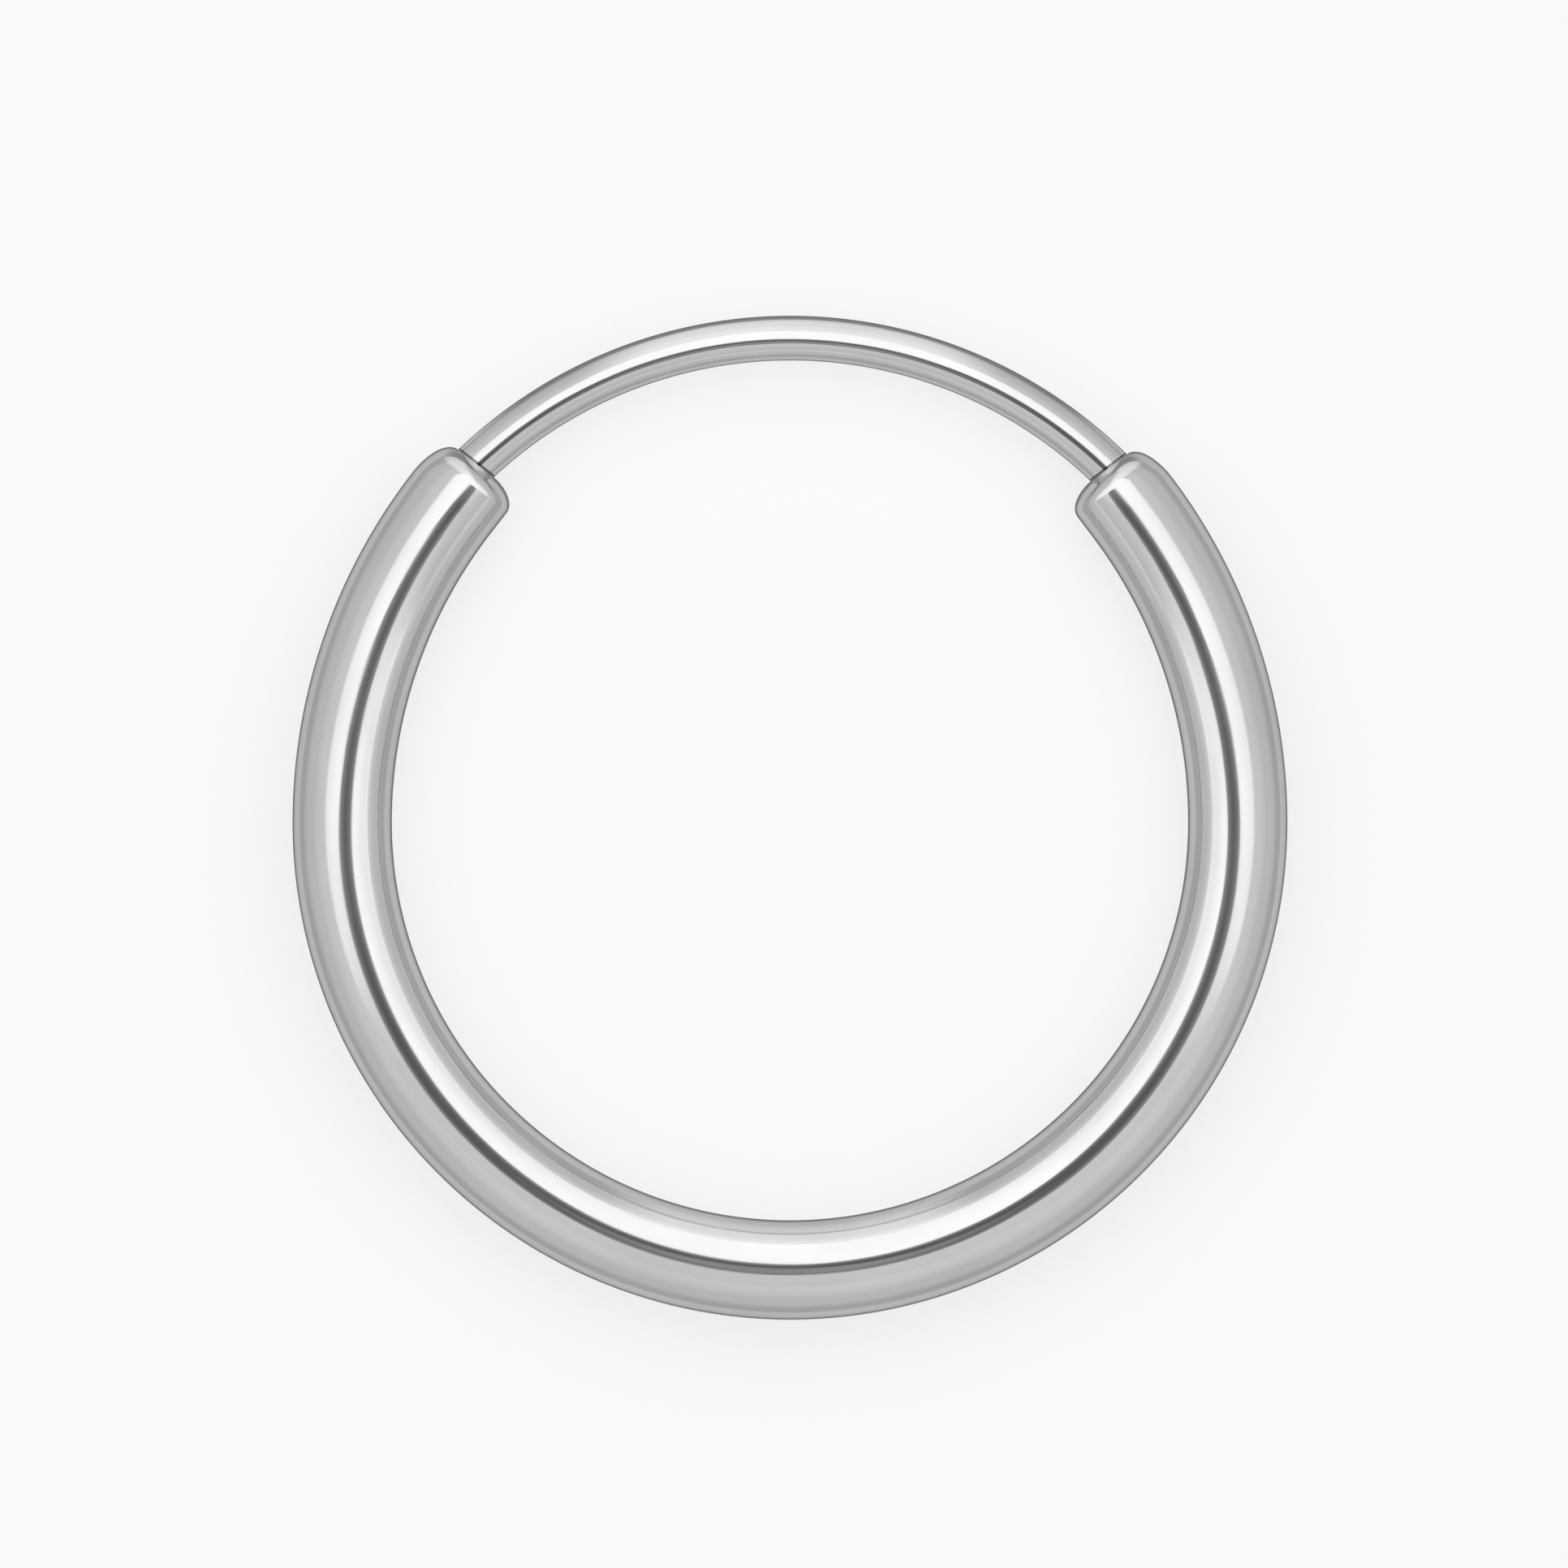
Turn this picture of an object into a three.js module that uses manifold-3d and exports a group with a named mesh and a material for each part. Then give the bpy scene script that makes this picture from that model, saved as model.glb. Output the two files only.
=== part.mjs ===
// A segment ring: a hollow round tube bent into an open hoop, closed at the top by a thinner wire bow.
// The wire's two ends sit in holes in the tube's rounded mouths.
// Units are millimetres. The ring lies on its side, so its axis is +Z and the wire is at +Y.
// The origin is on the surface that the ring lies on, in the middle of its outline.

import * as THREE from "three";
import { mergeVertices } from "three/addons/utils/BufferGeometryUtils.js";
import Module from "manifold-3d";

// Driving dimensions
const HOOP_OUTER_DIAMETER = 20;
const TUBE_DIAMETER = 2;
const TUBE_WALL = 0.22;
const ARM_BEND_RADIUS = 10.5; // the arms above the hoop's middle are bent less than its lower half
const ARM_SWEEP = THREE.MathUtils.degToRad(37.5);
const MOUTH_LENGTH = 0.92; // the straight end of each arm, up to the tip of the mouth
const MOUTH_ROUND_LENGTH = 0.42; // the rounding of the mouth, along the tube
const MOUTH_ROUND_EXTRA = 0.5; // how much longer it is on the outermost line of the hoop
const MOUTH_ROUND_DEPTH = 0.64; // the rounding of the mouth, across the tube
const WIRE_DIAMETER = 0.9;
const WIRE_BEND_RADIUS = 9.18;
const WIRE_CROWN_HEIGHT = 9.73; // the wire's centreline at the top, above the hoop's centre
const WIRE_SEATED_LENGTH = 1.8; // of each end, inside the tube
const WIRE_TIP_ROUND = 0.2;
const WIRE_CLEARANCE = 0.04;

// How finely the round shapes are divided. Four times a whole number plus two puts a flat on the underside.
const TUBE_SIDES = 26;
const BORE_SIDES = 18;
const WIRE_SIDES = 18;
const TUBE_STEP = 0.75;
const WIRE_STEP = 0.6;
const MOUTH_ROUND_STEPS = 6;
const TIP_ROUND_STEPS = 3;

// Sizes that follow from them
const tubeRadius = TUBE_DIAMETER / 2;
const boreRadius = tubeRadius - TUBE_WALL;
const wireRadius = WIRE_DIAMETER / 2;
const hoopRadius = HOOP_OUTER_DIAMETER / 2 - tubeRadius;
const quarterLength = (hoopRadius * Math.PI) / 2;
const armLength = ARM_BEND_RADIUS * ARM_SWEEP;
const armCentreX = hoopRadius - ARM_BEND_RADIUS;
const tubeHalfLength = quarterLength + armLength + MOUTH_LENGTH;
const wireCentreY = WIRE_CROWN_HEIGHT - WIRE_BEND_RADIUS;
const outlineMiddleY = (WIRE_CROWN_HEIGHT + wireRadius - HOOP_OUTER_DIAMETER / 2) / 2;

const wasm = await Module();
wasm.setup();

// The hoop's centreline: a half circle below, a wider arc up each arm, and a short straight mouth.
// distance runs from the lowest point of the hoop, and is positive on its right side.
function onHoop(distance) {
  const side = Math.sign(distance) || 1;
  const run = Math.abs(distance);
  if (run <= quarterLength) {
    const angle = run / hoopRadius - Math.PI / 2;
    const outward = new THREE.Vector2(side * Math.cos(angle), Math.sin(angle));
    return { point: outward.clone().multiplyScalar(hoopRadius), outward };
  }
  const angle = Math.min((run - quarterLength) / ARM_BEND_RADIUS, ARM_SWEEP);
  const straight = Math.max(run - quarterLength - armLength, 0);
  const outward = new THREE.Vector2(side * Math.cos(angle), Math.sin(angle));
  const ahead = new THREE.Vector2(-side * Math.sin(angle), Math.cos(angle));
  const point = new THREE.Vector2(side * armCentreX, 0)
    .addScaledVector(outward, ARM_BEND_RADIUS)
    .addScaledVector(ahead, straight);
  return { point, outward };
}

// The wire's centreline, one arc. distance runs from its crown, and is positive on its left side.
function onWire(distance) {
  const angle = Math.PI / 2 + distance / WIRE_BEND_RADIUS;
  const outward = new THREE.Vector2(Math.cos(angle), Math.sin(angle));
  const point = new THREE.Vector2(0, wireCentreY).addScaledVector(outward, WIRE_BEND_RADIUS);
  return { point, outward };
}

// How far along the wire, from its crown, it meets the tip of a mouth.
function wireReach() {
  const tip = onHoop(tubeHalfLength).point;
  return WIRE_BEND_RADIUS * Math.atan2(tip.x, tip.y - wireCentreY);
}

// A straight round bar about the Y axis, with both ends rounded by a quarter ellipse.
// Its flats, not its corners, are at the given radius. roundExtra draws the rounding out on the +X side.
function straightBar(form) {
  const { radius, halfLength, roundLength, roundExtra = 0, roundDepth, roundSteps, step, sides } = form;
  const cornerScale = 1 / Math.cos(Math.PI / sides);
  const plainHalf = halfLength - roundLength;
  const plainSteps = 2 * Math.ceil(plainHalf / step);
  const upperEnd = [];
  for (let i = 1; i <= roundSteps; i++) {
    const angle = ((i / roundSteps) * Math.PI) / 2;
    const across = radius - roundDepth * (1 - Math.cos(angle));
    upperEnd.push(new THREE.Vector2(across * cornerScale, plainHalf + roundLength * Math.sin(angle)));
  }
  upperEnd.push(new THREE.Vector2(0, halfLength));
  const lowerEnd = upperEnd.map((p) => new THREE.Vector2(p.x, -p.y)).reverse();
  const plain = [];
  for (let i = 0; i <= plainSteps; i++) {
    plain.push(new THREE.Vector2(radius * cornerScale, plainHalf * ((2 * i) / plainSteps - 1)));
  }
  const bar = new THREE.LatheGeometry([...lowerEnd, ...plain, ...upperEnd], sides, Math.PI / sides);
  const position = bar.getAttribute("position");
  for (let i = 0; i < position.count; i++) {
    const along = position.getY(i);
    const roundedShare = (halfLength - Math.abs(along)) / roundLength;
    if (roundedShare > 1.001) continue;
    const outside = Math.max(position.getX(i) / radius, 0);
    position.setY(i, along - Math.sign(along) * roundExtra * roundedShare * outside ** 2);
  }
  return bar;
}

// Bends a straight bar onto a centreline in the XY plane.
// The bar's X becomes the outward side, and its Z stays up.
function bend(bar, line) {
  const position = bar.getAttribute("position");
  for (let i = 0; i < position.count; i++) {
    const { point, outward } = line(position.getY(i));
    const across = position.getX(i);
    position.setXY(i, point.x + across * outward.x, point.y + across * outward.y);
  }
  return bar;
}

// A closed geometry as a solid that can be cut.
function solidOf(geometry) {
  const bare = new THREE.BufferGeometry();
  bare.setAttribute("position", geometry.getAttribute("position"));
  bare.setIndex(geometry.getIndex());
  const merged = mergeVertices(bare, 1e-5);
  const corners = merged.getIndex().array;
  const triVerts = [];
  for (let i = 0; i < corners.length; i += 3) {
    const [a, b, c] = corners.slice(i, i + 3);
    if (a !== b && b !== c && c !== a) triVerts.push(a, b, c);
  }
  return new wasm.Manifold(
    new wasm.Mesh({
      numProp: 3,
      vertProperties: merged.getAttribute("position").array,
      triVerts: new Uint32Array(triVerts),
    }),
  );
}

function geometryOf(solid) {
  const { vertProperties, triVerts } = solid.getMesh();
  const geometry = new THREE.BufferGeometry();
  geometry.setAttribute("position", new THREE.BufferAttribute(vertProperties, 3));
  geometry.setIndex(new THREE.BufferAttribute(triVerts, 1));
  geometry.computeVertexNormals();
  return geometry;
}

// The wire's form, or with a clearance the hole that it goes through.
function wireBar(clearance) {
  return bend(
    straightBar({
      radius: wireRadius + clearance,
      halfLength: wireReach() + WIRE_SEATED_LENGTH + clearance,
      roundLength: WIRE_TIP_ROUND,
      roundDepth: WIRE_TIP_ROUND,
      roundSteps: TIP_ROUND_STEPS,
      step: WIRE_STEP,
      sides: WIRE_SIDES,
    }),
    onWire,
  );
}

// The hollow tube. Its bore ends where the mouths begin to round, and the wire's hole opens each mouth.
function ringTube() {
  const outside = bend(
    straightBar({
      radius: tubeRadius,
      halfLength: tubeHalfLength,
      roundLength: MOUTH_ROUND_LENGTH,
      roundExtra: MOUTH_ROUND_EXTRA,
      roundDepth: MOUTH_ROUND_DEPTH,
      roundSteps: MOUTH_ROUND_STEPS,
      step: TUBE_STEP,
      sides: TUBE_SIDES,
    }),
    onHoop,
  );
  const bore = bend(
    straightBar({
      radius: boreRadius,
      halfLength: tubeHalfLength - MOUTH_ROUND_LENGTH - MOUTH_ROUND_EXTRA,
      roundLength: TUBE_WALL,
      roundDepth: TUBE_WALL,
      roundSteps: TIP_ROUND_STEPS,
      step: TUBE_STEP,
      sides: BORE_SIDES,
    }),
    onHoop,
  );
  return geometryOf(solidOf(outside).subtract(solidOf(bore)).subtract(solidOf(wireBar(WIRE_CLEARANCE))));
}

function wireSegment() {
  return geometryOf(solidOf(wireBar(0)));
}

const polishedMetal = new THREE.MeshStandardMaterial({ color: 0xc6c7c9, roughness: 0.08, metalness: 1 });

function piece(name, geometry) {
  const mesh = new THREE.Mesh(geometry, polishedMetal.clone());
  mesh.name = name;
  return mesh;
}

// The ring, lifted to lie on the XY plane and centred on its outline.
const ring = new THREE.Group();
ring.position.set(0, -outlineMiddleY, tubeRadius);
ring.add(piece("ring_tube", ringTube()), piece("wire_segment", wireSegment()));

const part = new THREE.Group();
part.add(ring);

export default part;
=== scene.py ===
"""A polished segment ring lying on a pale floor under soft studio light.

The ring is a hollow tube bent into an open hoop. A thinner wire bow closes it, and its ends sit in the
tube's mouths. Lengths are in metres. The ring lies on its side: +Z is the hoop's axis and the wire is at +Y.
"""

import math

import bmesh
import bpy
from mathutils import Matrix, Vector


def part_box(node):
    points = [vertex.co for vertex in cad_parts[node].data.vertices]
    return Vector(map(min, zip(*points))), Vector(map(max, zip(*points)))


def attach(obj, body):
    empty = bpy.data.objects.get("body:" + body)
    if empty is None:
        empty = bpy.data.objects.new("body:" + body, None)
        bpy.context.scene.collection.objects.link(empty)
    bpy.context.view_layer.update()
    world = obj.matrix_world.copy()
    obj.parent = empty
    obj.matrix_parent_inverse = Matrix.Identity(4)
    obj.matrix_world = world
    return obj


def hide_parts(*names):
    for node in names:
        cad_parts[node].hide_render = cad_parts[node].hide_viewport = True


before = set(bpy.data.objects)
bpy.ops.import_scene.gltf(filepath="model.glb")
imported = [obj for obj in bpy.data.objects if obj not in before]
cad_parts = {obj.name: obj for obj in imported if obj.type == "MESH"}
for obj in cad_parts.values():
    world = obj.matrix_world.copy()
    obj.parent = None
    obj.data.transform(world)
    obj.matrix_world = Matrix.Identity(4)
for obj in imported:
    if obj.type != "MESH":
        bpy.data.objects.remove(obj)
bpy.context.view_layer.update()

bl_info = {
    "name": "Segment Ring",
    "version": (1, 0, 0),
    "blender": (4, 5, 0),
    "location": "3D View > Sidebar > Segment Ring",
    "description": "Bends a polished tube and a wire into a segment ring, and sets the stage it is seen on",
    "category": "Add Mesh",
}

tube_low, tube_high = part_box("ring_tube")
wire_low, wire_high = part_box("wire_segment")


# Properties


def length(name, description, default):
    """A size in metres."""
    return bpy.props.FloatProperty(
        name=name,
        description=description,
        default=default,
        min=0.0,
        precision=5,
        subtype="DISTANCE",
        unit="LENGTH",
    )


def angle(name, description, degrees):
    """An angle, given in degrees and kept in radians."""
    return bpy.props.FloatProperty(
        name=name, description=description, default=math.radians(degrees), subtype="ANGLE", unit="ROTATION"
    )


def factor(name, description, default, most=1.0):
    """A plain number from nothing to most."""
    return bpy.props.FloatProperty(
        name=name, description=description, default=default, min=0.0, max=most, subtype="FACTOR"
    )


def colour(name, description, default):
    """A linear colour."""
    return bpy.props.FloatVectorProperty(
        name=name, description=description, default=default, size=3, min=0.0, max=1.0, subtype="COLOR"
    )


class SEGMENT_RING_tube_sizes(bpy.types.PropertyGroup):
    """Sizes of the bent tube"""

    hoop_diameter: length("Hoop diameter", "Width of the hoop over the outside", tube_high.x - tube_low.x)
    diameter: length("Tube diameter", "Thickness of the tube", tube_high.z - tube_low.z)
    wall: length("Wall", "Thickness of the tube's wall", 0.00022)
    arm_bend_radius: length("Arm bend", "Centreline radius of the arms above the hoop's middle", 0.0105)
    arm_sweep: angle("Arm sweep", "How far each arm is bent, from the hoop's middle to its mouth", 37.5)
    mouth_length: length("Mouth length", "Straight end of each arm, up to its tip", 0.00092)
    mouth_round_length: length("Mouth rounding, along", "Rounding of the mouth along the tube", 0.00042)
    mouth_round_extra: length("Outer shoulder", "Extra length of the rounding on the hoop's outside", 0.0005)
    mouth_round_depth: length("Mouth rounding, across", "Rounding of the mouth across the tube", 0.00064)
    lip: length("Hole lip", "Rounding of the edge round the wire's hole", 0.00003)


class SEGMENT_RING_wire_sizes(bpy.types.PropertyGroup):
    """Sizes of the wire bow"""

    diameter: length("Wire diameter", "Thickness of the wire", wire_high.z - wire_low.z)
    bend_radius: length("Wire bend", "Centreline radius of the bow", 0.00918)
    seated_length: length("Seated length", "Length of each end inside the tube", 0.0018)
    tip_round: length("Tip rounding", "Rounding of the wire's ends", 0.0002)
    clearance: length("Clearance", "Gap between the wire and its hole", 0.00004)


class SEGMENT_RING_finish(bpy.types.PropertyGroup):
    """Polish of the metal"""

    bright: colour("Bright metal", "Colour of the best polished metal", (0.79, 0.79, 0.8))
    dull: colour("Dull metal", "Colour where the polish is a little dimmer", (0.75, 0.75, 0.76))
    edge: colour("Edge", "Share of light that is kept at a glancing angle", (0.75, 0.75, 0.75))
    smooth: factor("Smoothest", "Roughness of the best polished metal", 0.06)
    hazy: factor("Haziest", "Roughness where the polish is a little dimmer", 0.12)
    wave_depth: length("Wave depth", "Height of the slow unevenness left by bending", 0.000004)
    streak_depth: length("Streak depth", "Height of the fine lines left by buffing", 0.0000012)
    # Painted shade: a dark line painted on the metal where the wire leaves each mouth, standing in for the
    # shadow in the gap
    painted_seam_shade: colour("Painted shade", "Colour of the dark line where the wire leaves a mouth", (0.16, 0.16, 0.16))
    painted_seam_shade_width: length("Tarnish width", "Width of the dark line along the wire", 0.000026)


class SEGMENT_RING_stage(bpy.types.PropertyGroup):
    """Floor, light and camera"""

    floor_colour: colour("Floor", "Colour of the floor", (0.36, 0.36, 0.36))
    floor_glow: factor("Floor glow", "Light that comes through the floor and softens its shadows", 0.665)
    floor_white: factor("Floor white", "Light of the floor away from the ring", 0.945)
    floor_radius: length("Floor radius", "Radius of the level floor, before it turns up into a wall", 0.5)
    floor_bend: length("Floor bend", "Radius of the curve between the floor and the wall", 0.4)
    frame_width: length("Frame width", "Width of the picture at the ring", 0.03154)
    camera_height: length("Camera height", "Distance from the camera to the ring", 0.3)
    camera_roll: angle("Camera roll", "Turn of the camera about its line of sight", 0.39)
    roof_height: length("Roof height", "Height of the tent's lit roof above the floor", 0.051)
    sheet_height: length("Sheet height", "Height of the grey sheet below the roof", 0.0165)
    window_radius: length("Window radius", "Half the width of the window in the grey sheet", 0.0203)
    window_roundness: factor("Window roundness", "One for a diamond, two for a circle", 1.6, 2.0)
    tent_reach: length("Tent reach", "How far the roof and the sheet reach from their middle", 0.11)
    surround: factor("Surround", "Brightness of the studio round the ring", 0.58, 4.0)
    strip: factor("Strip", "Extra brightness of the strip behind the ring", 0.32, 4.0)
    softbox: factor("Softbox", "Brightness of the lit patch on the tent's roof", 1.25, 4.0)
    lens: factor("Lens", "Brightness of the camera's dark front", 0.2, 4.0)
    # The dark card is a black sheet under the floor, seen only in reflections: a painted dark reflection
    # that stands in for shade along the wire's outer edge
    card_depth: length("Card depth", "How far the dark card lies under the floor", 0.0005)
    card_radius: length("Card radius", "Reach of the dark card from the middle of the wire's bend", 0.0145)
    card_shade: factor("Card shade", "Share of light that the dark card holds back", 0.55)


class SEGMENT_RING_settings(bpy.types.PropertyGroup):
    """All settings of the segment ring"""

    tube: bpy.props.PointerProperty(type=SEGMENT_RING_tube_sizes)
    wire: bpy.props.PointerProperty(type=SEGMENT_RING_wire_sizes)
    finish: bpy.props.PointerProperty(type=SEGMENT_RING_finish)
    stage: bpy.props.PointerProperty(type=SEGMENT_RING_stage)


# Places that follow from the sizes

UP = Vector((0, 0, 1))


def hoop_centre(tube):
    """Middle of the hoop's lower half, at half its height."""
    return Vector((0, tube_low.y + tube.hoop_diameter / 2, tube_low.z + tube.diameter / 2))


def hoop_radius(tube):
    """Centreline radius of the hoop's lower half."""
    return (tube.hoop_diameter - tube.diameter) / 2


def arm_centre(tube):
    """Centre that the right arm is bent about."""
    return hoop_centre(tube) + Vector((hoop_radius(tube) - tube.arm_bend_radius, 0, 0))


def wire_centre(tube, wire):
    """Centre that the wire bow is bent about."""
    crown = wire_high.y - wire.diameter / 2
    return Vector((0, crown - wire.bend_radius, hoop_centre(tube).z))


def right_mouth(tube):
    """Axes at the foot of the right mouth: X is outward, Y is up, and Z is out of the mouth."""
    outward = Vector((math.cos(tube.arm_sweep), math.sin(tube.arm_sweep), 0))
    along = Vector((-outward.y, outward.x, 0))
    return axes(arm_centre(tube) + outward * tube.arm_bend_radius, outward, along)


def axes(origin, outward, along):
    """Matrix that carries X to outward, Y to up and Z to along, about an origin."""
    turned = Matrix((outward, UP, along)).transposed().to_4x4()
    return Matrix.Translation(origin) @ turned


def wire_in_mouth(tube, wire, ahead):
    """Where the wire crosses a plane ahead of the right mouth's foot: its offset outward and its lean."""
    centre = right_mouth(tube).inverted() @ wire_centre(tube, wire)
    forward = ahead - centre.z
    outward = math.sqrt(wire.bend_radius**2 - forward**2)
    return centre.x + outward, math.atan2(forward, outward)


# Modelling


class Sweep:
    """A ring of edges that is carried along and leaves a tube behind it."""

    def __init__(self, mesh, place, sides):
        self.mesh = mesh
        self.place = place
        made = bmesh.ops.create_circle(mesh, segments=sides, radius=1.0, matrix=place)
        self.edges = list({edge for vert in made["verts"] for edge in vert.link_edges})

    def bend(self, centre, turn, steps):
        """Carries the ring round a centre, about the hoop's axis."""
        carried = self.edges + list({vert for edge in self.edges for vert in edge.verts})
        made = bmesh.ops.spin(
            self.mesh, geom=carried, cent=centre, axis=UP, angle=turn, steps=steps, use_duplicate=False
        )
        self.edges = [part for part in made["geom_last"] if isinstance(part, bmesh.types.BMEdge)]
        about = Matrix.Translation(centre)
        self.place = about @ Matrix.Rotation(turn, 4, UP) @ about.inverted() @ self.place

    def reach(self, place):
        """Carries the ring straight to a new place and size."""
        made = bmesh.ops.extrude_edge_only(self.mesh, edges=self.edges)
        verts = {part for part in made["geom"] if isinstance(part, bmesh.types.BMVert)}
        bmesh.ops.transform(self.mesh, matrix=place @ self.place.inverted(), verts=list(verts))
        edges = (part for part in made["geom"] if isinstance(part, bmesh.types.BMEdge))
        self.edges = [edge for edge in edges if verts.issuperset(edge.verts)]
        self.place = place

    def close(self):
        """Fills the ring with a flat end."""
        bmesh.ops.contextual_create(self.mesh, geom=self.edges)


def ring(place, radius, out=0.0, ahead=0.0):
    """A ring in the axes of place, moved outward and ahead."""
    return place @ Matrix.Translation((out, 0, ahead)) @ Matrix.Scale(radius, 4)


# How near points are merged, and how finely the shapes are divided
MIRROR_MERGE = 1e-6
DOUBLES_MERGE = 1e-7
TUBE_SIDES = 96
WIRE_SIDES = 64
QUARTER_STEPS = 72
ARM_STEPS = 36
BORE_COARSENESS = 3
MOUTH_STEPS = 16
LIP_STEPS = 4
WIRE_STEPS = 72
TIP_STEPS = 5
FLOOR_SIDES = 96
FLOOR_STEPS = 16

# Share of the rounding, measured from the tip, where the plain tube begins
ROUNDING_START = 1.001


def finish_piece(name, mesh, material, node):
    """Mirrors the right half to the left, and makes it a smooth piece that stands for a node."""
    everything = mesh.verts[:] + mesh.edges[:] + mesh.faces[:]
    bmesh.ops.mirror(mesh, geom=everything, matrix=Matrix.Identity(4), merge_dist=MIRROR_MERGE, axis="X")
    bmesh.ops.remove_doubles(mesh, verts=mesh.verts, dist=DOUBLES_MERGE)
    bmesh.ops.recalc_face_normals(mesh, faces=mesh.faces)
    data = bpy.data.meshes.new(name)
    mesh.to_mesh(data)
    mesh.free()
    data.shade_smooth()
    data.materials.append(material)
    piece = bpy.data.objects.new(name, data)
    bpy.context.scene.collection.objects.link(piece)
    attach(piece, "root")
    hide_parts(node)


def draw_out_shoulder(mesh, mouth, tube):
    """Lengthens the rounding of the mouth towards the outside of the hoop."""
    along = mouth.to_3x3() @ UP
    for vert in mesh.verts:
        spot = mouth.inverted() @ vert.co
        rounded = (tube.mouth_length - spot.z) / tube.mouth_round_length
        if rounded < ROUNDING_START and spot.x > 0:
            extra = tube.mouth_round_extra * rounded * (spot.x / (tube.diameter / 2)) ** 2
            bmesh.ops.translate(mesh, verts=[vert], vec=-extra * along)


def bend_tube_half(mesh, tube, wire):
    """The right half of the hollow tube, from its lowest point to its mouth, and back along its bore."""
    radius = tube.diameter / 2
    bore = radius - tube.wall
    hole = wire.diameter / 2 + wire.clearance
    centre = hoop_centre(tube)
    lowest = axes(centre - Vector((0, hoop_radius(tube), 0)), Vector((0, -1, 0)), Vector((1, 0, 0)))
    sweep = Sweep(mesh, ring(lowest, radius), TUBE_SIDES)
    sweep.bend(centre, math.pi / 2, QUARTER_STEPS)
    sweep.bend(arm_centre(tube), tube.arm_sweep, ARM_STEPS)

    mouth = right_mouth(tube)
    offset, _ = wire_in_mouth(tube, wire, tube.mouth_length)
    rim = hole + tube.lip
    turn = math.acos(1 - (radius - rim) / tube.mouth_round_depth)
    for step in range(MOUTH_STEPS + 1):
        share = step / MOUTH_STEPS
        across = radius - tube.mouth_round_depth * (1 - math.cos(turn * share))
        ahead = tube.mouth_length - tube.mouth_round_length * (1 - math.sin(turn * share))
        sweep.reach(ring(mouth, across, offset * share**2, ahead))
    draw_out_shoulder(mesh, mouth, tube)

    for step in range(1, LIP_STEPS + 1):
        lip_turn = math.pi / 2 * step / LIP_STEPS
        across = rim - tube.lip * math.sin(lip_turn)
        sweep.reach(ring(mouth, across, offset, ahead - tube.lip * (1 - math.cos(lip_turn))))
    hole_end, _ = wire_in_mouth(tube, wire, 0.0)
    sweep.reach(ring(mouth, hole, hole_end))
    sweep.reach(ring(mouth, bore))
    sweep.bend(arm_centre(tube), -tube.arm_sweep, ARM_STEPS // BORE_COARSENESS)
    sweep.bend(centre, -math.pi / 2, QUARTER_STEPS // BORE_COARSENESS)


def bend_wire_half(mesh, tube, wire):
    """The right half of the wire bow, from its crown to its rounded end inside the tube."""
    radius = wire.diameter / 2
    centre = wire_centre(tube, wire)
    crown = axes(centre + Vector((0, wire.bend_radius, 0)), Vector((0, 1, 0)), Vector((1, 0, 0)))
    _, lean = wire_in_mouth(tube, wire, tube.mouth_length)
    seated = (wire.seated_length - wire.tip_round) / wire.bend_radius
    turn = math.pi / 2 - tube.arm_sweep - lean + seated
    sweep = Sweep(mesh, ring(crown, radius), WIRE_SIDES)
    sweep.bend(centre, -turn, WIRE_STEPS)
    end = sweep.place @ Matrix.Scale(1 / radius, 4)
    for step in range(1, TIP_STEPS + 1):
        tip_turn = math.pi / 2 * step / TIP_STEPS
        across = radius - wire.tip_round * (1 - math.cos(tip_turn))
        sweep.reach(ring(end, across, ahead=wire.tip_round * math.sin(tip_turn)))
    sweep.close()


# Materials

WHITE = (1, 1, 1, 1)
BLACK = (0, 0, 0, 1)


def new_material(name):
    """A material with an empty node tree."""
    material = bpy.data.materials.new(name)
    material.use_nodes = True
    material.node_tree.nodes.clear()
    return material


def node(tree, kind, inputs=None, **settings):
    """Adds a shader node. An input is a socket to link or a value to set."""
    made = tree.nodes.new(kind)
    for name, value in settings.items():
        setattr(made, name, value)
    for key, value in (inputs or {}).items():
        if isinstance(value, bpy.types.NodeSocket):
            tree.links.new(value, made.inputs[key])
        else:
            made.inputs[key].default_value = value
    return made


def math_node(tree, operation, *values):
    """Adds a Math node and gives its result."""
    return node(tree, "ShaderNodeMath", dict(enumerate(values)), operation=operation).outputs[0]


def ease(tree, value, start, end, low=0.0, high=1.0):
    """Goes smoothly from low, at start, to high, at end."""
    inputs = {"Value": value, "From Min": start, "From Max": end, "To Min": low, "To Max": high}
    return node(tree, "ShaderNodeMapRange", inputs, interpolation_type="SMOOTHSTEP").outputs["Result"]


def flatten(tree, spot):
    """The level part of a place or a direction."""
    apart = node(tree, "ShaderNodeSeparateXYZ", {"Vector": spot}).outputs
    return node(tree, "ShaderNodeCombineXYZ", {"X": apart["X"], "Y": apart["Y"]}).outputs["Vector"]


def level_from(tree, centre):
    """How far a place on an object lies from a centre, to the right and to the back."""
    spot = node(tree, "ShaderNodeTexCoord").outputs["Object"]
    inputs = {"Vector": spot, "Location": -centre}
    return flatten(tree, node(tree, "ShaderNodeMapping", inputs).outputs["Vector"])


def size_of(tree, vector):
    """Length of a vector."""
    return node(tree, "ShaderNodeVectorMath", {0: vector}, operation="LENGTH").outputs["Value"]


def blend(tree, share, first, second):
    """A colour between two, each a colour or the socket of one."""
    inputs = {"Factor": share, "A": first, "B": second}
    return node(tree, "ShaderNodeMix", inputs, data_type="RGBA").outputs["Result"]


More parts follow.
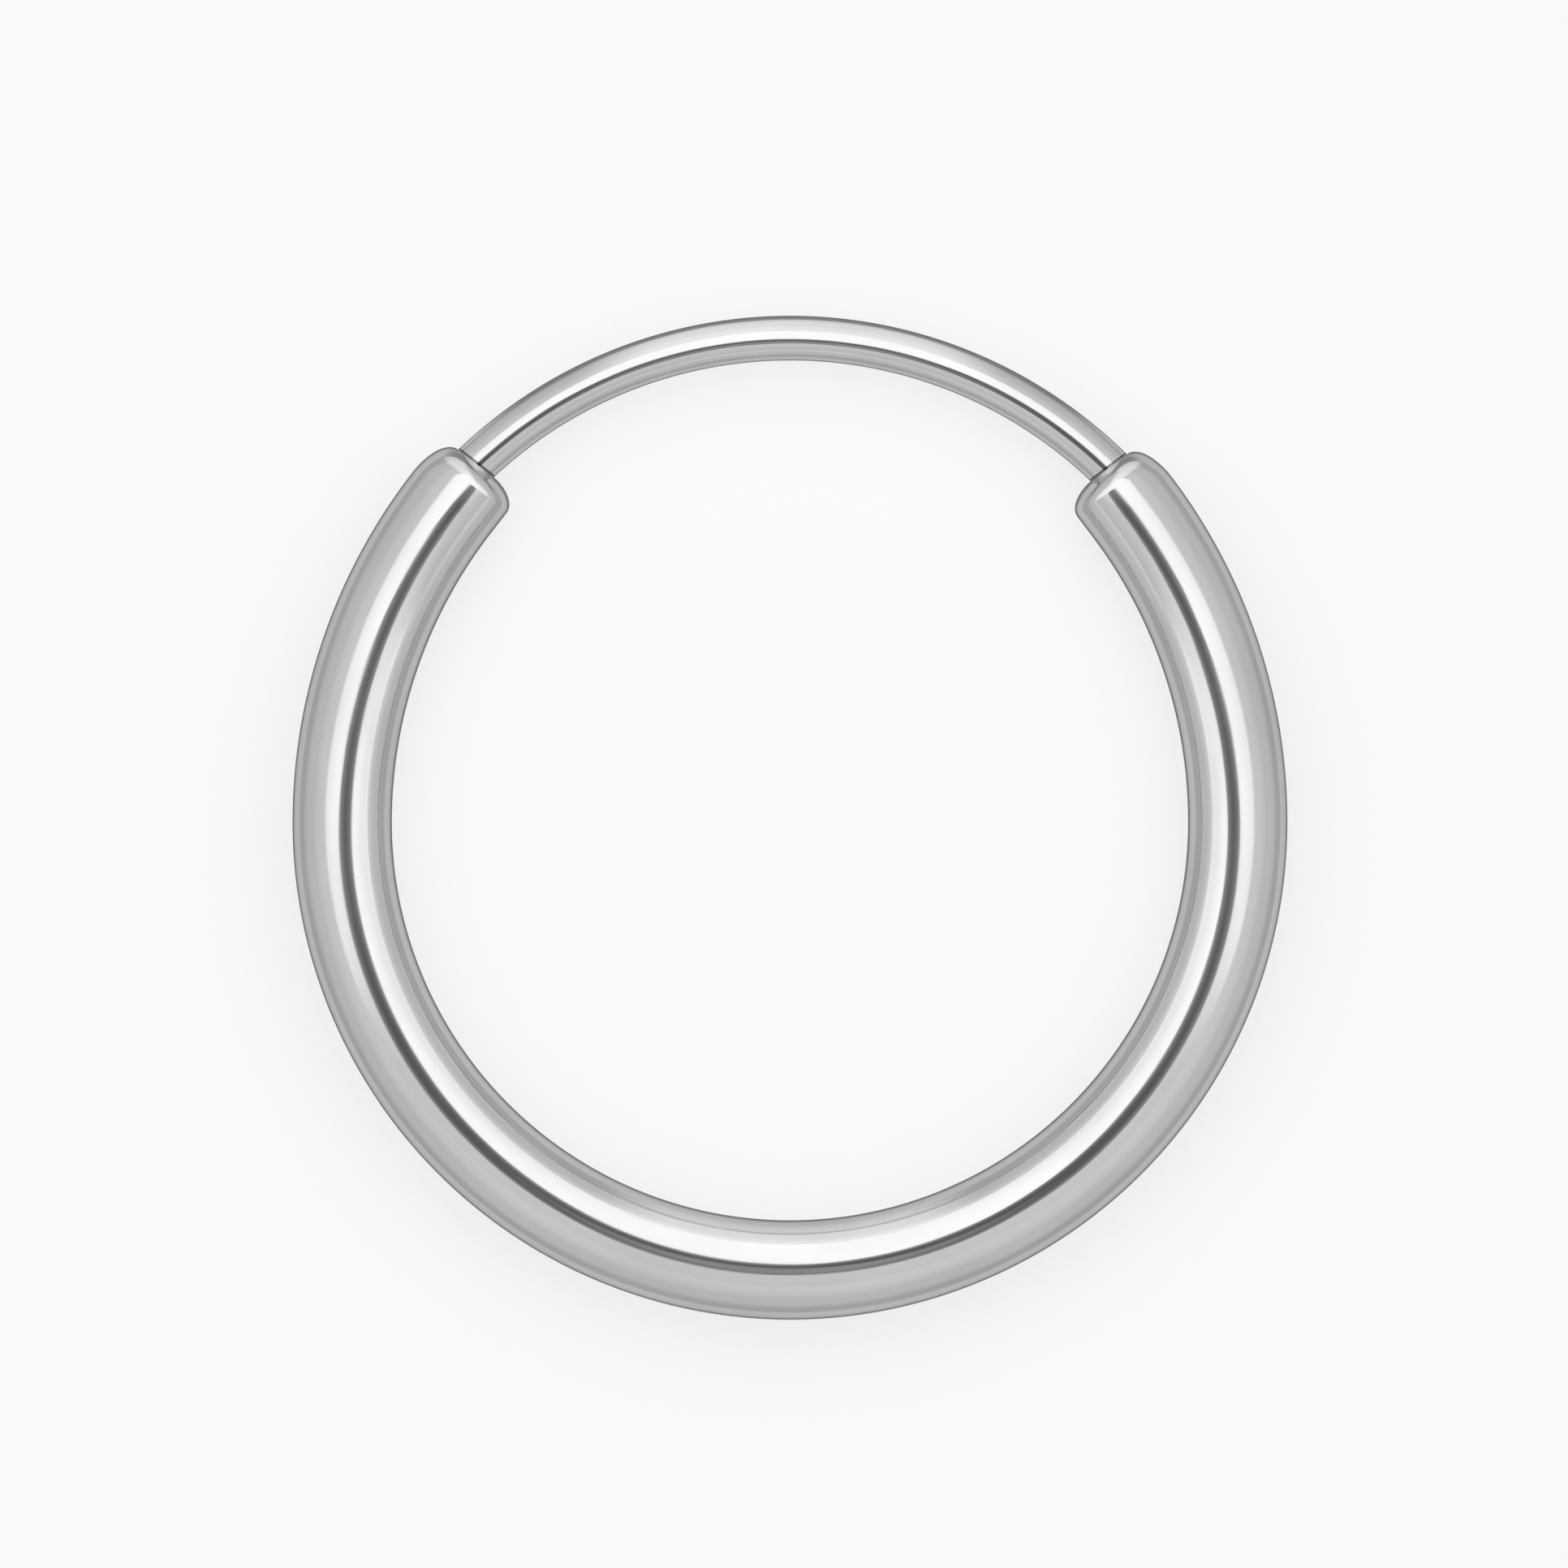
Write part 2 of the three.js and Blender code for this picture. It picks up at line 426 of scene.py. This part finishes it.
def round_the_hoop(tree, centre, radius, seam_turn):
    """Coordinates along the hoop, out from its axis, and up. Their seam is opposite the turn."""
    spot = node(tree, "ShaderNodeTexCoord").outputs["Object"]
    away = Matrix.Rotation(seam_turn, 3, "Z") @ -centre
    inputs = {"Vector": spot, "Location": away, "Rotation": (0, 0, seam_turn)}
    centred = node(tree, "ShaderNodeMapping", inputs).outputs["Vector"]
    apart = node(tree, "ShaderNodeSeparateXYZ", {"Vector": centred}).outputs
    turn = math_node(tree, "ARCTAN2", apart["X"], apart["Y"])
    along = math_node(tree, "MULTIPLY", turn, radius)
    out = size_of(tree, flatten(tree, centred))
    return node(tree, "ShaderNodeCombineXYZ", {"X": along, "Y": out, "Z": apart["Z"]}).outputs["Vector"]


def noise(tree, coordinates, along, across, detail):
    """Noise whose features have a length along the hoop and a width across it."""
    inputs = {"Vector": coordinates, "Scale": (1 / along, 1 / across, 1 / across)}
    stretched = node(tree, "ShaderNodeMapping", inputs).outputs["Vector"]
    inputs = {"Vector": stretched, "Scale": 1.0, "Detail": detail}
    return node(tree, "ShaderNodeTexNoise", inputs).outputs["Fac"]


def painted_shade_ring(tree, tube, width):
    """One in a narrow ring just ahead of each mouth, where a dark line of shade is painted, and nothing
    elsewhere.
    """
    spot = node(tree, "ShaderNodeTexCoord").outputs["Object"]
    apart = node(tree, "ShaderNodeSeparateXYZ", {"Vector": spot}).outputs
    right = math_node(tree, "ABSOLUTE", apart["X"])
    inputs = {"X": right, "Y": apart["Y"], "Z": apart["Z"]}
    folded = node(tree, "ShaderNodeCombineXYZ", inputs).outputs["Vector"]
    back = right_mouth(tube).inverted()
    inputs = {"Vector": folded, "Location": back.translation, "Rotation": back.to_euler()}
    in_mouth = node(tree, "ShaderNodeMapping", inputs).outputs["Vector"]
    ahead = node(tree, "ShaderNodeSeparateXYZ", {"Vector": in_mouth}).outputs["Z"]
    middle = tube.mouth_length + width / 2
    beyond = math_node(tree, "ABSOLUTE", math_node(tree, "SUBTRACT", ahead, middle))
    return ease(tree, beyond, width, width / 2)


# Length along the hoop, width across it and detail of each unevenness in the metal
WAVES = (0.0045, 0.0016, 1.0)
STREAKS = (0.006, 0.00012, 3.0)
HAZE = (0.0025, 0.0007, 5.0)

# Where the haze begins and is full, for the metal's colour and for its roughness
DULL_HAZE = (0.35, 0.7)
ROUGH_HAZE = (0.3, 0.75)


def polished_silver(name, settings, seam_turn):
    """Mirror polish with waves from bending, fine lines from buffing, haze, and painted shade: a dark line
    where the wire leaves each mouth.
    """
    finish = settings.finish
    material = new_material(name)
    tree = material.node_tree
    place = round_the_hoop(tree, hoop_centre(settings.tube), hoop_radius(settings.tube), seam_turn)
    waves = noise(tree, place, *WAVES)
    streaks = noise(tree, place, *STREAKS)
    haze = noise(tree, place, *HAZE)
    dulled = blend(tree, ease(tree, haze, *DULL_HAZE), (*finish.bright, 1), (*finish.dull, 1))
    # Painted shade: the metal is darkened in a narrow ring where the wire leaves each mouth
    painted_seam_shade = painted_shade_ring(tree, settings.tube, finish.painted_seam_shade_width)
    tone = blend(tree, painted_seam_shade, dulled, (*finish.painted_seam_shade, 1))
    roughness = ease(tree, haze, *ROUGH_HAZE, finish.smooth, finish.hazy)
    bent = node(tree, "ShaderNodeBump", {"Height": waves, "Distance": finish.wave_depth})
    inputs = {"Height": streaks, "Distance": finish.streak_depth, "Normal": bent.outputs["Normal"]}
    buffed = node(tree, "ShaderNodeBump", inputs)
    shader = node(
        tree,
        "ShaderNodeBsdfPrincipled",
        {
            "Base Color": tone,
            "Metallic": 1.0,
            "Roughness": roughness,
            "Specular Tint": (*finish.edge, 1),
            "Normal": buffed.outputs["Normal"],
        },
    )
    node(tree, "ShaderNodeOutputMaterial", {"Surface": shader.outputs["BSDF"]})
    return material


# How fine the floor's unevenness is, and how much paler it gets
FLOOR_CLOUD = {"Scale": 40.0, "Detail": 2.0}
FLOOR_PALER = 1.03
FLOOR_ROUGHNESS = 0.7

# Distances from the hoop's circle between which the lit floor turns to an even glow
FLOOR_FADE = (0.002, 0.0045)


def pale_floor(stage, tube):
    """Plain matt floor with a faint unevenness of tone round the ring, and an even glow further away."""
    material = new_material("pale_floor")
    tree = material.node_tree
    out = size_of(tree, level_from(tree, hoop_centre(tube)))
    away = math_node(tree, "ABSOLUTE", math_node(tree, "SUBTRACT", out, hoop_radius(tube)))
    spot = node(tree, "ShaderNodeTexCoord").outputs["Object"]
    cloud = node(tree, "ShaderNodeTexNoise", {"Vector": spot, **FLOOR_CLOUD}).outputs["Fac"]
    paler = [min(1.0, part * FLOOR_PALER) for part in stage.floor_colour]
    tone = blend(tree, cloud, (*stage.floor_colour, 1), (*paler, 1))
    shader = node(
        tree,
        "ShaderNodeBsdfPrincipled",
        {
            "Base Color": blend(tree, ease(tree, away, *FLOOR_FADE), tone, BLACK),
            "Roughness": FLOOR_ROUGHNESS,
            "Specular IOR Level": 0.0,
            "Emission Color": WHITE,
            "Emission Strength": ease(tree, away, *FLOOR_FADE, stage.floor_glow, stage.floor_white),
        },
    )
    node(tree, "ShaderNodeOutputMaterial", {"Surface": shader.outputs["BSDF"]})
    # The glow lights nothing that is seen, so it isn't sampled as a light
    material.cycles.emission_sampling = "NONE"
    return material


# Stage


def lay_floor(stage, tube):
    """A level floor that the ring lies on, which turns up far away into a wall all round."""
    mesh = bmesh.new()
    level = Matrix.Translation((0, 0, tube_low.z))
    sweep = Sweep(mesh, ring(level, stage.floor_radius), FLOOR_SIDES)
    sweep.close()
    for step in range(1, FLOOR_STEPS + 1):
        turn = math.pi / 2 * step / FLOOR_STEPS
        reach = stage.floor_radius + stage.floor_bend * math.sin(turn)
        sweep.reach(ring(level, reach, ahead=stage.floor_bend * (1 - math.cos(turn))))
    data = bpy.data.meshes.new("floor")
    mesh.to_mesh(data)
    mesh.free()
    data.shade_smooth()
    data.materials.append(pale_floor(stage, tube))
    floor = bpy.data.objects.new("floor", data)
    floor.visible_glossy = False
    bpy.context.scene.collection.objects.link(floor)


def towards_back(tree, level):
    """One where a level vector points straight back, and less to either side."""
    heading = node(tree, "ShaderNodeVectorMath", {0: level}, operation="NORMALIZE").outputs["Vector"]
    return node(tree, "ShaderNodeSeparateXYZ", {"Vector": heading}).outputs["Y"]


# The strip's sides: where it begins and is full, with one straight back
STRIP_SIDES = (0.88, 0.97)


def strip_light(tree, spot, stage):
    """Extra light in a strip behind the ring, which narrows towards it."""
    return ease(tree, towards_back(tree, flatten(tree, spot)), *STRIP_SIDES, 0.0, stage.strip)


# Heights in the studio between which its light changes: one is straight up and minus one straight down
OVERHEAD = (0.4, 1.0)
HORIZON = (-0.22, 0.05)
LOW = (-0.36, -0.52)
BELOW = (-0.94, -0.78)
STRIP_FOOT = (-0.6, -0.3)

# Shares of the light there
OVERHEAD_SHARE = 1.21
HORIZON_SHARE = 0.78
LOW_SHARE = 0.3
BELOW_SHARE = 0.42


def light_studio(stage):
    """Grey surroundings: paler overhead, behind the ring and low down, and dark straight below."""
    world = bpy.data.worlds.new("studio")
    bpy.context.scene.world = world
    world.use_nodes = True
    tree = world.node_tree
    tree.nodes.clear()
    sky = node(tree, "ShaderNodeTexCoord").outputs["Generated"]
    height = node(tree, "ShaderNodeSeparateXYZ", {"Vector": sky}).outputs["Z"]
    overhead = ease(tree, height, *OVERHEAD, stage.surround, stage.surround * OVERHEAD_SHARE)
    horizon = ease(tree, height, *HORIZON, HORIZON_SHARE, 1.0)
    low = ease(tree, height, *LOW, 0.0, stage.surround * LOW_SHARE)
    below = ease(tree, height, *BELOW, BELOW_SHARE, 1.0)
    around = math_node(tree, "MULTIPLY", overhead, horizon)
    strip = math_node(tree, "MULTIPLY", strip_light(tree, sky, stage), ease(tree, height, *STRIP_FOOT))
    paler = math_node(tree, "ADD", low, strip)
    light = math_node(tree, "MULTIPLY", math_node(tree, "ADD", around, paler), below)
    background = node(tree, "ShaderNodeBackground", {"Color": WHITE, "Strength": light})
    node(tree, "ShaderNodeOutputWorld", {"Surface": background.outputs["Background"]})


def far_from(tree, coordinates, middle, radii):
    """Distance from a middle, where an ellipse with the given radii is at one."""
    scale = (1 / radii[0], 1 / radii[1], 0)
    location = (-middle[0] * scale[0], -middle[1] * scale[1], 0)
    inputs = {"Vector": coordinates, "Location": location, "Scale": scale}
    return size_of(tree, node(tree, "ShaderNodeMapping", inputs).outputs["Vector"])


def show(tree, share, under, over):
    """Ends a tree with one shader over another."""
    seen = node(tree, "ShaderNodeMixShader", {0: share, 1: under.outputs[0], 2: over.outputs[0]})
    node(tree, "ShaderNodeOutputMaterial", {"Surface": seen.outputs[0]})


# Places and sizes on the tent's roof, in roof heights: X is to the right and Y is to the back
PATCH_SLANT = 0.48
PATCH_FRONT = (-0.1, 0.22)
PATCH_FADE = (0.1, 1.0)
LENS_MIDDLE = (-0.012, -0.135)
LENS_RADII = (0.32, 0.225)
GLINT_MIDDLE = (0, -0.19)
GLINT_RADII = (0.1, 0.1)

# Soft edges of the lens, its paler rim and its glint, with their radii at one
LENS_EDGE = (1.09, 0.91)
RIM_EDGE = (0.45, 0.95)
GLINT_EDGE = (1.3, 0.5)

# Shares of the patch's light at its far sides, and of the lens's light in its middle and at its rim
PATCH_SIDE_SHARE = 0.83
LENS_MIDDLE_SHARE = 0.55
LENS_RIM_SHARE = 1.4


def roof_light(stage):
    """Glow of the tent's roof: a broad patch that wraps round three sides of the camera's dark front."""
    material = new_material("tent_roof")
    tree = material.node_tree
    spot = node(tree, "ShaderNodeTexCoord").outputs["Object"]
    unit = 1 / stage.roof_height
    scaled = node(tree, "ShaderNodeMapping", {"Vector": spot, "Scale": (unit, unit, unit)}).outputs["Vector"]
    apart = node(tree, "ShaderNodeSeparateXYZ", {"Vector": scaled}).outputs
    aside = math_node(tree, "ABSOLUTE", apart["X"])
    front = math_node(tree, "ADD", apart["Y"], math_node(tree, "MULTIPLY", aside, PATCH_SLANT))
    in_patch = ease(tree, front, *PATCH_FRONT)
    fade = ease(tree, aside, *PATCH_FADE, stage.softbox, stage.softbox * PATCH_SIDE_SHARE)

    lens = far_from(tree, scaled, LENS_MIDDLE, LENS_RADII)
    in_lens = ease(tree, lens, *LENS_EDGE)
    rim = ease(tree, lens, *RIM_EDGE, stage.lens * LENS_MIDDLE_SHARE, stage.lens * LENS_RIM_SHARE)
    glint = ease(tree, far_from(tree, scaled, GLINT_MIDDLE, GLINT_RADII), *GLINT_EDGE, 0.0, stage.lens)
    depth = math_node(tree, "ADD", rim, glint)

    clear = node(tree, "ShaderNodeBsdfTransparent")
    glow = node(tree, "ShaderNodeEmission", {"Color": WHITE, "Strength": fade})
    dark = node(tree, "ShaderNodeEmission", {"Color": WHITE, "Strength": depth})
    lit = node(tree, "ShaderNodeMixShader", {0: in_patch, 1: clear.outputs[0], 2: glow.outputs[0]})
    show(tree, in_lens, lit, dark)
    return material


# The window's soft edge and the fade of the grey beyond it, in window radii
WINDOW_EDGE = (0.94, 1.08)
SHEET_FADE = (1.0, 2.6)

# Shares of the surrounding light on the sheet, next to its window and far from it
SHEET_NEAR_SHARE = 1.24
SHEET_FAR_SHARE = 1.03


def sheet_light(stage):
    """Grey of the tent's sheet, with a window over the ring like a diamond with round corners."""
    material = new_material("tent_sheet")
    tree = material.node_tree
    spot = node(tree, "ShaderNodeTexCoord").outputs["Object"]
    unit = 1 / stage.window_radius
    scaled = node(tree, "ShaderNodeMapping", {"Vector": spot, "Scale": (unit, unit, unit)}).outputs["Vector"]
    apart = node(tree, "ShaderNodeSeparateXYZ", {"Vector": scaled}).outputs
    sides = []
    for axis in "XY":
        aside = math_node(tree, "ABSOLUTE", apart[axis])
        sides.append(math_node(tree, "POWER", aside, stage.window_roundness))
    out = math_node(tree, "POWER", math_node(tree, "ADD", *sides), 1 / stage.window_roundness)
    on_sheet = ease(tree, out, *WINDOW_EDGE)
    near, far = stage.surround * SHEET_NEAR_SHARE, stage.surround * SHEET_FAR_SHARE
    grey = ease(tree, out, *SHEET_FADE, near, far)
    strength = math_node(tree, "ADD", grey, strip_light(tree, spot, stage))
    clear = node(tree, "ShaderNodeBsdfTransparent")
    cloth = node(tree, "ShaderNodeEmission", {"Color": WHITE, "Strength": strength})
    show(tree, on_sheet, clear, cloth)
    return material


# The dark card's soft edges: shares of its inner and outer radius, and its two ends, with one straight back
CARD_INSIDE = (1.0, 1.05)
CARD_OUTSIDE = (1.07, 0.93)
CARD_ENDS = (0.74, 0.84)


def card_shade(stage, tube, wire):
    """Shade of the dark card: an arc outside the wire, seen only in the metal's reflections, which paints a
    dark line of shade along the wire's outer edge.
    """
    material = new_material("dark_card")
    tree = material.node_tree
    level = level_from(tree, wire_centre(tube, wire))
    out = size_of(tree, level)
    inner, outer = wire.bend_radius + wire.diameter, stage.card_radius
    past_inner = ease(tree, out, *(inner * share for share in CARD_INSIDE))
    in_outer = ease(tree, out, *(outer * share for share in CARD_OUTSIDE), 0.0, stage.card_shade)
    in_ends = ease(tree, towards_back(tree, level), *CARD_ENDS)
    on_arc = math_node(tree, "MULTIPLY", in_outer, past_inner)
    share = math_node(tree, "MULTIPLY", on_arc, in_ends)
    clear = node(tree, "ShaderNodeBsdfTransparent")
    dark = node(tree, "ShaderNodeBsdfDiffuse", {"Color": BLACK})
    show(tree, share, clear, dark)
    return material


def hang_sheet(name, material, height, size):
    """A level square sheet, out of the camera's sight."""
    mesh = bmesh.new()
    bmesh.ops.create_grid(mesh, x_segments=1, y_segments=1, size=size)
    bmesh.ops.translate(mesh, verts=mesh.verts, vec=(0, 0, height))
    data = bpy.data.meshes.new(name)
    mesh.to_mesh(data)
    mesh.free()
    data.materials.append(material)
    sheet = bpy.data.objects.new(name, data)
    sheet.visible_camera = False
    bpy.context.scene.collection.objects.link(sheet)


# Where the picture's middle is, seen from the middle of the ring's outline
PICTURE_MIDDLE = Vector((-0.000125, 0.000677, 0))

# Share of the camera's height that is too near to be seen
CLIP_SHARE = 0.1


def set_camera(stage):
    """A camera that looks straight down at the ring, with the wire at the top of the picture."""
    data = bpy.data.cameras.new("camera")
    data.lens = data.sensor_width * stage.camera_height / stage.frame_width
    data.clip_start = stage.camera_height * CLIP_SHARE
    camera = bpy.data.objects.new("camera", data)
    ring_height = (tube_low.z + tube_high.z) / 2
    camera.location = PICTURE_MIDDLE + UP * (ring_height + stage.camera_height)
    camera.rotation_euler = (0, 0, stage.camera_roll)
    bpy.context.scene.collection.objects.link(camera)
    bpy.context.scene.camera = camera
    bpy.context.scene.view_settings.view_transform = "Standard"


# Operators


class SEGMENT_RING_OT_bend_tube(bpy.types.Operator):
    """Bend the hollow tube into an open hoop with rounded mouths"""

    bl_idname = "segment_ring.bend_tube"
    bl_label = "Bend Tube"
    bl_options = {"REGISTER", "UNDO"}

    def execute(self, context):
        settings = context.scene.segment_ring
        mesh = bmesh.new()
        bend_tube_half(mesh, settings.tube, settings.wire)
        metal = polished_silver("tube_silver", settings, math.pi)
        finish_piece("polished_tube", mesh, metal, "ring_tube")
        return {"FINISHED"}


class SEGMENT_RING_OT_bend_wire(bpy.types.Operator):
    """Bend the wire bow that closes the hoop"""

    bl_idname = "segment_ring.bend_wire"
    bl_label = "Bend Wire"
    bl_options = {"REGISTER", "UNDO"}

    def execute(self, context):
        settings = context.scene.segment_ring
        mesh = bmesh.new()
        bend_wire_half(mesh, settings.tube, settings.wire)
        metal = polished_silver("wire_silver", settings, 0.0)
        finish_piece("polished_wire", mesh, metal, "wire_segment")
        return {"FINISHED"}


class SEGMENT_RING_OT_set_stage(bpy.types.Operator):
    """Lay the floor, light the studio and set the camera"""

    bl_idname = "segment_ring.set_stage"
    bl_label = "Set Stage"
    bl_options = {"REGISTER", "UNDO"}

    def execute(self, context):
        settings = context.scene.segment_ring
        stage = settings.stage
        lay_floor(stage, settings.tube)
        light_studio(stage)
        hang_sheet("tent_roof", roof_light(stage), stage.roof_height, stage.tent_reach)
        hang_sheet("tent_sheet", sheet_light(stage), stage.sheet_height, stage.tent_reach)
        # A dark card under the floor, seen only in reflections, paints shade along the wire's outer edge
        shade = card_shade(stage, settings.tube, settings.wire)
        hang_sheet("dark_card", shade, -stage.card_depth, stage.tent_reach)
        set_camera(stage)
        return {"FINISHED"}


class SEGMENT_RING_PT_sidebar(bpy.types.Panel):
    """Settings of the segment ring and the steps that make it"""

    bl_idname = "SEGMENT_RING_PT_sidebar"
    bl_label = "Segment Ring"
    bl_space_type = "VIEW_3D"
    bl_region_type = "UI"
    bl_category = "Segment Ring"

    def draw(self, context):
        settings = context.scene.segment_ring
        steps = {
            "tube": SEGMENT_RING_OT_bend_tube,
            "wire": SEGMENT_RING_OT_bend_wire,
            "finish": None,
            "stage": SEGMENT_RING_OT_set_stage,
        }
        for name, operator in steps.items():
            box = self.layout.box()
            box.label(text=name.title())
            group = getattr(settings, name)
            for key in group.bl_rna.properties.keys():
                if key not in ("rna_type", "name"):
                    box.prop(group, key)
            if operator:
                box.operator(operator.bl_idname)


CLASSES = (
    SEGMENT_RING_tube_sizes,
    SEGMENT_RING_wire_sizes,
    SEGMENT_RING_finish,
    SEGMENT_RING_stage,
    SEGMENT_RING_settings,
    SEGMENT_RING_OT_bend_tube,
    SEGMENT_RING_OT_bend_wire,
    SEGMENT_RING_OT_set_stage,
    SEGMENT_RING_PT_sidebar,
)


def register():
    """Makes the settings, the steps and the sidebar known to Blender."""
    for each in CLASSES:
        bpy.utils.register_class(each)
    bpy.types.Scene.segment_ring = bpy.props.PointerProperty(type=SEGMENT_RING_settings)


def unregister():
    """Takes them out again."""
    del bpy.types.Scene.segment_ring
    for each in reversed(CLASSES):
        bpy.utils.unregister_class(each)


def main():
    """Makes the ring and its stage, and keeps its sizes."""
    register()
    bpy.ops.segment_ring.bend_tube()
    bpy.ops.segment_ring.bend_wire()
    bpy.ops.segment_ring.set_stage()


if __name__ == "__main__":
    main()
